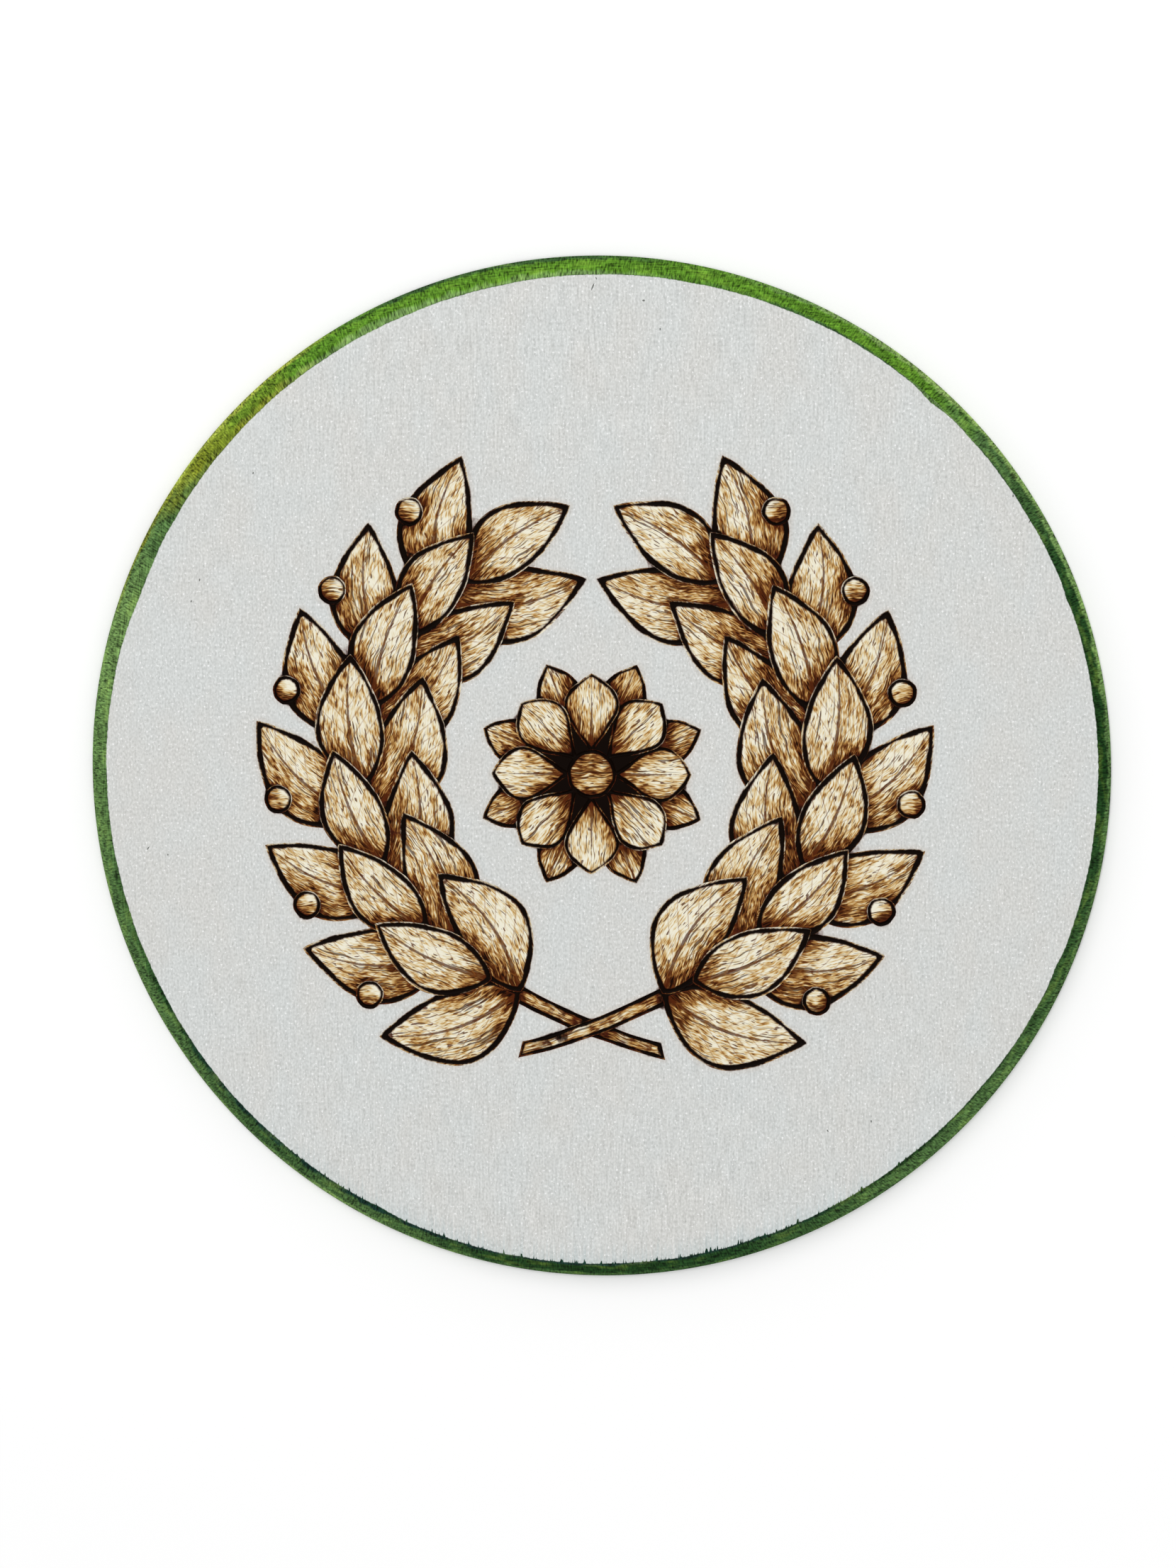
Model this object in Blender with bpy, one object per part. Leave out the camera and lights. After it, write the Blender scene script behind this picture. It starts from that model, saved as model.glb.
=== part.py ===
"""A round plywood plaque: three plies, a bevelled edge stained green, and a wreath burned into its face.

The plaque lies on its back. +Z points out of the face, +Y to the top of the design, and the origin is
the middle of the back. Lengths are in metres, angles in degrees counter-clockwise from +X.
"""

import math
import random

import bmesh
import bpy
from mathutils import Matrix, Vector
from mathutils.geometry import delaunay_2d_cdt

MM = 0.001

# The disc: a bevel runs down from the rim of the face to a narrow upright land at the back
DISC_RADIUS = 100.0 * MM
FACE_RADIUS = 96.7 * MM
THICKNESS = 5.0 * MM
LAND_HEIGHT = 0.45 * MM
BACK_ROUND = 0.15 * MM
BEVEL_BOW = 1.25
RIM_SIDES = 96

# The three plies, with a glue line between them
OUTER_PLY = 1.0 * MM
GLUE_LINE = 0.05 * MM
FACE_STEPS = 3
CORE_STEPS = 5

# The burned lines are shallow V grooves, bold round the leaves and fine round small things
LINE_DEPTH = 0.35 * MM
BOLD_LINE = 1.2 * MM
FINE_LINE = 0.8 * MM

# The wreath: two branches that cross at the bottom, with sprigs of three leaves
WREATH_RADIUS = 45.0 * MM
SPRIGS = 7
FIRST_SPRIG_ANGLE = -72.0
SPRIG_PITCH = 20.0

# A leaf: a pointed oval, fullest a little before its middle, with an arched rib
LEAF_LENGTH = 29.0 * MM
LEAF_WIDTH = 15.0 * MM
LEAF_FULLNESS = 0.85
SIDE_LEAF_TURN = 36.0
SIDE_LEAF_ARCH = 0.10
MIDDLE_LEAF_SCALE = 0.88
MIDDLE_LEAF_AHEAD = 8.0
MIDDLE_LEAF_ARCH = -0.06
LEAF_POINTS = 6

# How far the hand strays in a leaf's size and direction
HAND_SEED = 7
HAND_TURN = 3.0
HAND_SCALE = 0.05

# The two bare stem ends below the wreath
STEM_WIDTH = 3.4 * MM
STEM_END_ANGLE = -104.5
STEM_FLARE = 11.0 * MM
STEM_POINTS = 7

# Berries in the notches outside the wreath
BERRY_RADIUS = 2.8 * MM
BERRY_RING_RADIUS = 62.0 * MM
BERRY_AHEAD = 27.0
BERRY_POINTS = 10

# The rosette in the middle: pointed sepals behind round petals, and a button
PETALS = 8
PETAL_ROOT = 3.5 * MM
PETAL_LENGTH = 16.0 * MM
PETAL_WIDTH = 10.8 * MM
PETAL_FULLNESS = 1.5
SEPAL_ROOT = 10.5 * MM
SEPAL_LENGTH = 12.5 * MM
SEPAL_WIDTH = 9.0 * MM
SEPAL_FULLNESS = 0.9
PETAL_POINTS = 5
BUTTON_RADIUS = 4.8 * MM
BUTTON_POINTS = 14

# How square the sides of a leaf or petal are: 1 is a plain sine, less is fuller
SIDE_ROUNDNESS = 0.85

# Points of the design nearer than this are one point, and edges sharper than this are shaded sharp
POINTS_MEET = 0.01 * MM
SHARP_ANGLE = 15.0

# Colour and roughness
FACE_WOOD = ((0.83, 0.82, 0.79), 0.55)
STAINED_WOOD = ((0.16, 0.26, 0.10), 0.6)
BACK_WOOD = ((0.78, 0.70, 0.58), 0.6)


def rim_radius(height):
    """The disc's radius at a height above the back: a slightly bowed bevel over an upright land."""
    if height < BACK_ROUND:
        return DISC_RADIUS - BACK_ROUND + math.sqrt(BACK_ROUND**2 - (BACK_ROUND - height) ** 2)
    up_the_bevel = max(0.0, height - LAND_HEIGHT) / (THICKNESS - LAND_HEIGHT)
    return DISC_RADIUS - (DISC_RADIUS - FACE_RADIUS) * up_the_bevel**BEVEL_BOW


def on_ring(radius, angle):
    return Vector((radius * math.cos(math.radians(angle)), radius * math.sin(math.radians(angle))))


def placed(outline, at, turn):
    """An outline drawn along +X from its root, turned and moved to its place."""
    spin = Matrix.Rotation(math.radians(turn), 2)
    return [spin @ point + at for point in outline]


def mirrored(outline):
    """The same outline on the other side of the design's upright middle line."""
    return [Vector((-point.x, point.y)) for point in reversed(outline)]


def leaf_outline(length, width, arch, fullness, points):
    """A pointed oval along +X: fullness 1 is widest in the middle, more is nearer its tip."""

    def point_at(along, side):
        half_width = width / 2 * math.sin(math.pi * along**fullness) ** SIDE_ROUNDNESS
        rib = arch * length * math.sin(math.pi * along)
        return Vector((along * length, rib + side * half_width))

    steps = [(1 - math.cos(math.pi * i / points)) / 2 for i in range(points + 1)]
    lower = [point_at(along, -1) for along in steps]
    upper = [point_at(along, 1) for along in reversed(steps[1:-1])]
    return lower + upper


def circle_outline(centre, radius, points):
    return [centre + on_ring(radius, 360 * i / points) for i in range(points)]


def stem_outline():
    """The right branch's stem: it runs down under its first sprig, past the middle, and flares out."""
    first = FIRST_SPRIG_ANGLE + SPRIG_PITCH / 2
    outer, inner = [], []
    for i in range(STEM_POINTS + 1):
        share = i / STEM_POINTS
        angle = first + share * (STEM_END_ANGLE - first)
        radius = WREATH_RADIUS + STEM_FLARE * share**2
        outer.append(on_ring(radius + STEM_WIDTH / 2, angle))
        inner.append(on_ring(radius - STEM_WIDTH / 2, angle))
    return list(reversed(outer)) + inner


def sprig_leaves(angle, hand):
    """Three leaves that point on along the branch: outer, inner, and the middle one over both."""
    leaves = []
    for side in (-1, 1, 0):
        size = 1 + hand.uniform(-HAND_SCALE, HAND_SCALE)
        arch = side * SIDE_LEAF_ARCH
        if side == 0:
            size *= MIDDLE_LEAF_SCALE
            angle += MIDDLE_LEAF_AHEAD
            arch = MIDDLE_LEAF_ARCH
        turn = angle + 90 + side * SIDE_LEAF_TURN + hand.uniform(-HAND_TURN, HAND_TURN)
        leaf = leaf_outline(size * LEAF_LENGTH, size * LEAF_WIDTH, arch, LEAF_FULLNESS, LEAF_POINTS)
        leaves.append(placed(leaf, on_ring(WREATH_RADIUS, angle), turn))
    return leaves


def branch_shapes(hand):
    """The right branch's outlines with their line widths: each sprig lies over the next one up."""
    shapes = [(stem_outline(), FINE_LINE)]
    for number in reversed(range(SPRIGS)):
        angle = FIRST_SPRIG_ANGLE + number * SPRIG_PITCH
        if number < SPRIGS - 1:
            berry_at = on_ring(BERRY_RING_RADIUS, angle + BERRY_AHEAD)
            shapes.append((circle_outline(berry_at, BERRY_RADIUS, BERRY_POINTS), FINE_LINE))
        shapes += [(leaf, BOLD_LINE) for leaf in sprig_leaves(angle, hand)]
    return shapes


def rosette_shapes():
    sepal = leaf_outline(SEPAL_LENGTH, SEPAL_WIDTH, 0, SEPAL_FULLNESS, PETAL_POINTS)
    petal = leaf_outline(PETAL_LENGTH, PETAL_WIDTH, 0, PETAL_FULLNESS, PETAL_POINTS)
    shapes = []
    for outline, root, half_step in ((sepal, SEPAL_ROOT, 0.5), (petal, PETAL_ROOT, 0.0)):
        for i in range(PETALS):
            angle = 360 * (i + half_step) / PETALS
            shapes.append((placed(outline, on_ring(root, angle), angle), FINE_LINE))
    shapes.append((circle_outline(Vector((0, 0)), BUTTON_RADIUS, BUTTON_POINTS), FINE_LINE))
    return shapes


def design_shapes():
    """Every burned outline with its line width, each over the ones before it."""
    right = branch_shapes(random.Random(HAND_SEED))
    left = [(mirrored(outline), line) for outline, line in right]
    return left + right + rosette_shapes()


def sides_of(outline):
    return zip(outline, outline[1:] + outline[:1])


def distance_to(outline, point):
    nearest = math.inf
    for start, end in sides_of(outline):
        along = end - start
        share = max(0.0, min(1.0, (point - start).dot(along) / along.length_squared))
        nearest = min(nearest, (start + share * along - point).length)
    return nearest


def is_inside(outline, point):
    """True where a ray along +X from the point crosses the outline an odd number of times."""
    crossings = 0
    for start, end in sides_of(outline):
        if (start.y > point.y) != (end.y > point.y):
            share = (point.y - start.y) / (end.y - start.y)
            crossings += point.x < start.x + share * (end.x - start.x)
    return crossings % 2 == 1


def drawn_in(outline, distance):
    """The outline moved inwards, without the points that would come too near to another side."""
    moved = []
    for before, point, after in zip(outline[-1:] + outline[:-1], outline, outline[1:] + outline[:1]):
        from_last_side = (point - before).normalized().orthogonal()
        from_next_side = (after - point).normalized().orthogonal()
        inwards = (from_last_side + from_next_side).normalized()
        candidate = point + inwards * distance / inwards.dot(from_last_side)
        if is_inside(outline, candidate) and distance_to(outline, candidate) > distance - POINTS_MEET:
            moved.append(candidate)
    return moved


class BurnedShape:
    """One outline of the design, with the bottom and the inner edge of its groove."""

    def __init__(self, outline, line):
        self.outline = outline
        self.bottom = drawn_in(outline, line / 2)
        self.inner = drawn_in(outline, line)

    def covers(self, point):
        return is_inside(self.outline, point) and distance_to(self.outline, point) > POINTS_MEET

    def depth_at(self, point):
        """How deep the groove is at a covered point: nothing at its two edges, full at its bottom."""
        if is_inside(self.inner, point):
            return 0.0
        from_outline = distance_to(self.outline, point)
        from_inner = distance_to(self.inner, point)
        across = from_outline / (from_outline + from_inner)
        return LINE_DEPTH * (1 - abs(2 * across - 1))


def carved_top(mesh):
    """The face: a flat disc cut along every edge of every groove, with its points sunk to their depth."""
    shapes = [BurnedShape(outline, line) for outline, line in design_shapes()]
    rings = [circle_outline(Vector((0, 0)), FACE_RADIUS, RIM_SIDES)]
    for shape in shapes:
        rings += [shape.outline, shape.bottom, shape.inner]
    points, edges = [], []
    for ring in rings:
        first = len(points)
        points += ring
        edges += [(first + i, first + (i + 1) % len(ring)) for i in range(len(ring))]
    triangles_inside = 1
    flat, _, triangles, _, _, _ = delaunay_2d_cdt(points, edges, [], triangles_inside, POINTS_MEET)
    corners = []
    for point in flat:
        topmost = next((shape for shape in reversed(shapes) if shape.covers(point)), None)
        depth = topmost.depth_at(point) if topmost else 0.0
        corners.append(mesh.verts.new((point.x, point.y, OUTER_PLY - depth)))
    for triangle in triangles:
        mesh.faces.new([corners[i] for i in triangle])


def plain_top(mesh, top, bottom):
    place = Matrix.Translation((0, 0, top - bottom))
    bmesh.ops.create_circle(
        mesh, cap_ends=True, segments=RIM_SIDES, radius=rim_radius(top), matrix=place
    )


def turn_down_rim(mesh, bottom, heights):
    """Extrudes the open edge of a ply's top down the disc's rim, and closes it at the last height."""
    rim = [edge for edge in mesh.edges if edge.is_boundary]
    for height in heights:
        made = bmesh.ops.extrude_edge_only(mesh, edges=rim)["geom"]
        for vert in (item for item in made if isinstance(item, bmesh.types.BMVert)):
            out = Vector((vert.co.x, vert.co.y)).normalized() * rim_radius(height)
            vert.co = (out.x, out.y, height - bottom)
        rim = [item for item in made if isinstance(item, bmesh.types.BMEdge)]
    bmesh.ops.contextual_create(mesh, geom=rim)
    bmesh.ops.recalc_face_normals(mesh, faces=mesh.faces)


def even_heights(top, bottom, steps):
    return [top + (bottom - top) * (i + 1) / steps for i in range(steps)]


def wood(name, colour, roughness):
    material = bpy.data.materials.new(name)
    material.use_nodes = True
    surface = material.node_tree.nodes["Principled BSDF"]
    surface.inputs["Base Color"].default_value = (*colour, 1)
    surface.inputs["Roughness"].default_value = roughness
    surface.inputs["Metallic"].default_value = 0.0
    return material


def add_ply(name, plaque, mesh, bottom, heights, finish):
    """A ply from its top face: its rim turned down, its own origin in the middle of its underside."""
    turn_down_rim(mesh, bottom, heights)
    data = bpy.data.meshes.new(name)
    mesh.to_mesh(data)
    mesh.free()
    data.materials.append(wood(name, *finish))
    data.shade_smooth()
    data.set_sharp_from_angle(angle=math.radians(SHARP_ANGLE))
    ply = bpy.data.objects.new(name, data)
    ply.parent = plaque
    ply.location.z = bottom
    bpy.context.scene.collection.objects.link(ply)


def add_face_ply(plaque):
    bottom = THICKNESS - OUTER_PLY
    mesh = bmesh.new()
    carved_top(mesh)
    add_ply("face_ply", plaque, mesh, bottom, even_heights(THICKNESS, bottom, FACE_STEPS), FACE_WOOD)


def add_core_ply(plaque):
    top = THICKNESS - OUTER_PLY - GLUE_LINE
    bottom = OUTER_PLY + GLUE_LINE
    mesh = bmesh.new()
    plain_top(mesh, top, bottom)
    add_ply("core_ply", plaque, mesh, bottom, even_heights(top, bottom, CORE_STEPS), STAINED_WOOD)


def add_back_ply(plaque):
    mesh = bmesh.new()
    plain_top(mesh, OUTER_PLY, 0.0)
    heights = [LAND_HEIGHT, BACK_ROUND, BACK_ROUND / 4, 0.0]
    add_ply("back_ply", plaque, mesh, 0.0, heights, BACK_WOOD)


for old in list(bpy.data.objects):
    bpy.data.objects.remove(old)

plaque = bpy.data.objects.new("plaque", None)
bpy.context.scene.collection.objects.link(plaque)
add_face_ply(plaque)
add_core_ply(plaque)
add_back_ply(plaque)
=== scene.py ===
"""Looks for the round plywood plaque: burned face, stained bevel, bare back, soft studio light.

The CAD row has three plies. Each is redrawn here as a finer veneer in the same place: the face with its
burned wreath, the cross-grained core, and the back. Lengths are in millimetres until a mesh is made.
"""

import math
import random

import bpy
import numpy as np
from mathutils import Matrix, Vector
from mathutils.geometry import delaunay_2d_cdt


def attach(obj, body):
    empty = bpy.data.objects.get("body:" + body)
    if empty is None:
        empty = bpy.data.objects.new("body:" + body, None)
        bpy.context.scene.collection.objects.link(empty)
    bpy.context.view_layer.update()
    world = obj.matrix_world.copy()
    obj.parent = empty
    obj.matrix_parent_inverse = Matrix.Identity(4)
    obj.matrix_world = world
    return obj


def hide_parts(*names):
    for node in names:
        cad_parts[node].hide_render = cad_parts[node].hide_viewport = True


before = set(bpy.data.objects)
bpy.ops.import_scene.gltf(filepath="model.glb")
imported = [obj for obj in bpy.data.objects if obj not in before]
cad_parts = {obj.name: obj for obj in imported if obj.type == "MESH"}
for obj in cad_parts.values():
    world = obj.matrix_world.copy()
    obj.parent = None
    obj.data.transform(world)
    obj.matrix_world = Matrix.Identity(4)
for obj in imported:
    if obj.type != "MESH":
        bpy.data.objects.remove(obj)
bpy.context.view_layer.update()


# Face veneer
# The top ply: one sheet of pale, open-pored veneer with its grain up and down, glued to the core.
# A wood-burning pen has cut the outlines of the wreath into it and scorched the leaves with short
# strokes. Its rim is sanded to the bevel and brushed with green stain, which creeps in along the grain.

# The disc: a bevel over an upright land, three plies, and how finely its rim is cut
MM = 0.001
DISC_RADIUS = 100.0
FACE_RADIUS = 96.3
THICKNESS = 5.0
LAND_HEIGHT = 0.45
BACK_ROUND = 0.15
BEVEL_BOW = 1.25
OUTER_PLY = 1.0
SEAM = 0.01
RIM_SIDES = 384
RIM_STEPS = 5
SMOOTH_ANGLE = 32

# The wreath: sprigs of three leaves up two branches, their crossing stems, and the berries
WREATH_RADIUS = 45.0
SPRIGS = 7
FIRST_SPRIG_ANGLE = -72.0
SPRIG_PITCH = 20.0
LEAF_LENGTH = 29.0
LEAF_WIDTH = 15.0
LEAF_FULLNESS = 0.85
SIDE_ROUNDNESS = 0.85
SIDE_LEAF_TURN = 36.0
SIDE_LEAF_ARCH = 0.10
MIDDLE_LEAF_SCALE = 0.88
MIDDLE_LEAF_AHEAD = 8.0
MIDDLE_LEAF_ARCH = -0.06
STEM_WIDTH = 3.4
STEM_END_ANGLE = -104.5
STEM_FLARE = 11.0
BERRY_RADIUS = 2.8
BERRY_RING_RADIUS = 62.0
BERRY_AHEAD = 27.0

# The rosette: petals over sepals round a button
PETALS = 8
PETAL_ROOT, PETAL_LENGTH, PETAL_WIDTH, PETAL_FULLNESS = 3.5, 16.0, 10.8, 1.5
SEPAL_ROOT, SEPAL_LENGTH, SEPAL_WIDTH, SEPAL_FULLNESS = 10.5, 12.5, 9.0, 0.9
BUTTON_RADIUS = 4.8

# How far a hand strays from the pattern: leaves turned and sized a little, outlines wavering
LAYOUT_SEED = 7
HAND_TURN = 3.0
HAND_SCALE = 0.05
STRAY_SEED = 23
STRAY = 0.16
STRAY_WAVES = (2, 3, 5, 8)

# The burned lines, the rings of points that cut them into the mesh, and the points between them
BOLD_LINE = 1.2
FINE_LINE = 0.8
LINE_DEPTH = 0.35
GROOVE_ROUNDNESS = 0.8
GROOVE_RINGS = (0.0, 0.25, 0.5, 0.75, 1.0)
POINT_PITCH = 0.8
GROUND_PITCH = 1.35
ROW_PITCH = 0.866 * GROUND_PITCH
KEEP_CLEAR = 0.45
POINTS_MEET = 0.004
MEASURING_SLACK = 0.02
NEARBY = 14.0
FAR = 40.0

# The share of the picture map that the face takes, and the place and share of its underside
PICTURE_SHARE = 0.995
UNDERSIDE_AT = 0.08
UNDERSIDE_SHARE = 0.14

# Sanding by hand has left the face's rim off centre and more worn on one slant
RIM_TO_THE_RIGHT = 0.7
MORE_SANDED = 0.29
MORE_SANDED_AT = 114.0
# Where the block took off more or, below zero, less: each place on the clock, in degrees from the
# top, how far it spreads and how much is gone
HAND_SANDING = ((82, 30, -0.15), (181, 28, -0.52), (242, 10, 0.2), (280, 17, -0.36), (345, 12, 0.2))
# The small waves it left: how many go round, and their height
SANDING_WAVES = ((3, 0.05), (5, 0.05), (9, 0.04), (31, 0.03), (67, 0.03))
# Where the brush slipped onto the face: place on the clock, how far it spreads, and how far in
BRUSH_SLIPS = (
    (42, 1.8, 0.55),
    (69, 0.5, 0.35),
    (112, 1.4, 0.3),
    (160, 0.9, 0.3),
    (206, 2, 0.3),
    (292, 5, 0.35),
)

# A line is charred this share of its width to each side of its middle, and its soot dies away over
# the spread. Wood that no motif covers is all charred this near the rosette's middle.
LINE_SHARE = 0.34
SOOT_SPREAD = 0.28
LEAST_SOOT = 1e-12
CENTRE_CHAR = 11.0
SCORCH_RANGE = (-0.2, 1.2)
STROKES_APART = 7.3

# Half the width of the line burned up a motif's rib, and the share of its length where it runs out
RIBS = {"leaf": (0.34, 0.86), "petal": (0.3, 0.6), "sepal": (0.28, 0.8)}

# Old nicks in the veneer: place on X and Y, length, width, and angle
NICK_DEPTH = 0.08
NICKS = (
    (-0.1, 92.9, 1.7, 0.28, 67),
    (1.0, 95.0, 0.6, 0.22, 110),
    (9.7, 91.0, 0.6, 0.4, 0),
    (13.2, 85.3, 0.5, 0.3, 90),
    (83.5, 48.5, 1.0, 0.25, 60),
    (80.5, 53.4, 0.6, 0.3, 85),
    (-88.1, -15.7, 0.9, 0.26, 55),
    (-83.9, -16.8, 0.45, 0.32, 90),
    (-66.2, 58.0, 0.5, 0.3, 80),
    (-77.0, 37.2, 0.6, 0.28, 85),
    (-78.8, 33.1, 0.5, 0.28, 60),
    (54.6, -67.5, 0.6, 0.28, 95),
    (46.3, -69.5, 0.6, 0.25, 120),
)


def rim_radius(height):
    """The disc's radius at a height above the back: a slightly bowed bevel over an upright land."""
    if height < BACK_ROUND:
        return DISC_RADIUS - BACK_ROUND + math.sqrt(BACK_ROUND**2 - (BACK_ROUND - height) ** 2)
    up_the_bevel = max(0.0, height - LAND_HEIGHT) / (THICKNESS - LAND_HEIGHT)
    return DISC_RADIUS - (DISC_RADIUS - FACE_RADIUS) * up_the_bevel**BEVEL_BOW


def on_ring(radius, angle):
    return np.array((radius * math.cos(math.radians(angle)), radius * math.sin(math.radians(angle))))


def turned(points, angle):
    cos, sin = math.cos(math.radians(angle)), math.sin(math.radians(angle))
    x, y = points[:, 0], points[:, 1]
    return np.column_stack((x * cos - y * sin, x * sin + y * cos))


def evenly(curve):
    """The curve walked in even steps, both of its ends kept."""
    walked = np.concatenate(([0.0], np.cumsum(np.linalg.norm(np.diff(curve, axis=0), axis=1))))
    stops = np.linspace(0, walked[-1], max(3, round(walked[-1] / POINT_PITCH)) + 1)
    return np.column_stack([np.interp(stops, walked, curve[:, axis]) for axis in (0, 1)])


def leaf_outline(length, width, arch, fullness):
    """A pointed oval along +X: fullness 1 is widest in the middle, more is nearer its tip."""
    along = (1 - np.cos(np.linspace(0, math.pi, 200))) / 2
    half_width = width / 2 * np.sin(math.pi * along**fullness) ** SIDE_ROUNDNESS
    rib = arch * length * np.sin(math.pi * along)
    lower = evenly(np.column_stack((along * length, rib - half_width)))
    upper = evenly(np.column_stack((along * length, rib + half_width))[::-1])
    return np.concatenate((lower[:-1], upper[:-1]))


def circle_outline(radius, points):
    return np.array([on_ring(radius, 360 * i / points) for i in range(points)])


def stem_radius(angle):
    """How far from the middle the right stem's centre line runs at an angle."""
    first = FIRST_SPRIG_ANGLE + SPRIG_PITCH / 2
    share = np.clip((angle - first) / (STEM_END_ANGLE - first), 0, 1)
    return WREATH_RADIUS + STEM_FLARE * share**2


def stem_outline():
    angles = np.linspace(FIRST_SPRIG_ANGLE + SPRIG_PITCH / 2, STEM_END_ANGLE, 60)
    outer = evenly(np.array([on_ring(stem_radius(a) + STEM_WIDTH / 2, a) for a in angles[::-1]]))
    inner = evenly(np.array([on_ring(stem_radius(a) - STEM_WIDTH / 2, a) for a in angles]))
    return np.concatenate((outer, inner))


class Motif:
    """One burned shape: its outline, its line, and the way along it that its strokes follow."""

    def __init__(self, kind, outline, line, root=(0, 0), turn=0.0, length=1.0, arch=0.0):
        self.kind = kind
        self.outline = turned(outline, turn) + root
        self.line = line
        self.root, self.turn, self.length, self.arch = np.array(root), turn, length, arch
        self.flipped = False

    def mirrored(self):
        twin = Motif(self.kind, self.outline * (-1, 1), self.line)
        twin.outline = twin.outline[::-1]
        twin.root, twin.turn, twin.length, twin.arch = self.root, self.turn, self.length, self.arch
        twin.flipped = True
        return twin

    def strokes_at(self, points):
        """How far points lie along the motif from its root, and to the side of its rib."""
        if self.flipped:
            points = points * (-1, 1)
        if self.kind == "stem":
            angle = np.degrees(np.arctan2(points[:, 1], points[:, 0]))
            radius = np.linalg.norm(points, axis=1)
            return np.column_stack((np.radians(angle) * WREATH_RADIUS, radius - stem_radius(angle)))
        local = turned(points - self.root, -self.turn)
        rib = self.arch * self.length * np.sin(math.pi * np.clip(local[:, 0] / self.length, 0, 1))
        return np.column_stack((local[:, 0], local[:, 1] - rib))


def leaf(kind, line, root, turn, length, width, arch, fullness):
    outline = leaf_outline(length, width, arch, fullness)
    return Motif(kind, outline, line, root, turn, length, arch)


def sprig(angle, hand):
    """Three leaves that point on along the branch: outer, inner, and the middle one over both."""
    leaves = []
    for side in (-1, 1, 0):
        size = 1 + hand.uniform(-HAND_SCALE, HAND_SCALE)
        arch = side * SIDE_LEAF_ARCH
        if side == 0:
            size *= MIDDLE_LEAF_SCALE
            angle += MIDDLE_LEAF_AHEAD
            arch = MIDDLE_LEAF_ARCH
        turn = angle + 90 + side * SIDE_LEAF_TURN + hand.uniform(-HAND_TURN, HAND_TURN)
        root = on_ring(WREATH_RADIUS, angle)
        leaves.append(
            leaf("leaf", BOLD_LINE, root, turn, size * LEAF_LENGTH, size * LEAF_WIDTH, arch, LEAF_FULLNESS)
        )
    return leaves


def branch(hand):
    """The right branch from its stem to its tip: each sprig lies over the next one up."""
    motifs = [Motif("stem", stem_outline(), FINE_LINE)]
    for number in reversed(range(SPRIGS)):
        angle = FIRST_SPRIG_ANGLE + number * SPRIG_PITCH
        if number < SPRIGS - 1:
            berry_at = on_ring(BERRY_RING_RADIUS, angle + BERRY_AHEAD)
            motifs.append(Motif("berry", circle_outline(BERRY_RADIUS, 24), FINE_LINE, berry_at))
        motifs += sprig(angle, hand)
    return motifs


def rosette():
    motifs = []
    for i in range(PETALS):
        angle = 360 * (i + 0.5) / PETALS
        root = on_ring(SEPAL_ROOT, angle)
        motifs.append(leaf("sepal", FINE_LINE, root, angle, SEPAL_LENGTH, SEPAL_WIDTH, 0.0, SEPAL_FULLNESS))
    for i in range(PETALS):
        angle = 360 * i / PETALS
        root = on_ring(PETAL_ROOT, angle)
        motifs.append(leaf("petal", FINE_LINE, root, angle, PETAL_LENGTH, PETAL_WIDTH, 0.0, PETAL_FULLNESS))
    motifs.append(Motif("button", circle_outline(BUTTON_RADIUS, 40), FINE_LINE))
    return motifs


def nicks():
    motifs = []
    for x, y, length, width, angle in NICKS:
        motifs.append(leaf("nick", width / 2, (x, y), angle, length, width, 0.0, 1.0))
    return motifs


def drawn_by_hand(outline, hand):
    """The outline as a hand traces it, straying a little to either side of the pattern."""
    round_it = np.arange(len(outline)) / len(outline)
    stray = np.zeros(len(outline))
    for waves in STRAY_WAVES:
        stray += hand.uniform(0.3, 1) * np.sin(2 * math.pi * (waves * round_it + hand.random()))
    ahead = np.roll(outline, -1, axis=0) - np.roll(outline, 1, axis=0)
    ahead /= np.linalg.norm(ahead, axis=1)[:, None]
    return outline + np.column_stack((ahead[:, 1], -ahead[:, 0])) * (STRAY / 3 * stray)[:, None]


def distance_to(outline, points):
    """The distance from each point to the nearest side of the outline."""
    ahead = np.roll(outline, -1, axis=0) - outline
    from_start = points[:, None, :] - outline[None, :, :]
    share = np.clip((from_start * ahead).sum(axis=2) / (ahead**2).sum(axis=1), 0, 1)
    return np.linalg.norm(from_start - share[:, :, None] * ahead, axis=2).min(axis=1)


def is_inside(outline, points):
    """True for each point whose ray along +X crosses the outline an odd number of times."""
    start, end = outline, np.roll(outline, -1, axis=0)
    level = points[:, 1][:, None]
    spans = (start[:, 1] > level) != (end[:, 1] > level)
    rise = np.where(end[:, 1] == start[:, 1], 1, end[:, 1] - start[:, 1])
    crossing = start[:, 0] + (level - start[:, 1]) / rise * (end[:, 0] - start[:, 0])
    return (spans & (points[:, 0][:, None] < crossing)).sum(axis=1) % 2 == 1


def drawn_in(outline, distance):
    """The outline moved inwards, without the points that would come too near to another side."""
    if distance == 0:
        return outline
    sides = np.roll(outline, -1, axis=0) - outline
    next_side = np.column_stack((-sides[:, 1], sides[:, 0])) / np.linalg.norm(sides, axis=1)[:, None]
    last_side = np.roll(next_side, 1, axis=0)
    inwards = next_side + last_side
    inwards /= np.linalg.norm(inwards, axis=1)[:, None]
    moved = outline + inwards * (distance / (inwards * next_side).sum(axis=1))[:, None]
    keep = is_inside(outline, moved) & (distance_to(outline, moved) > distance - MEASURING_SLACK)
    return moved[keep]


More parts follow.
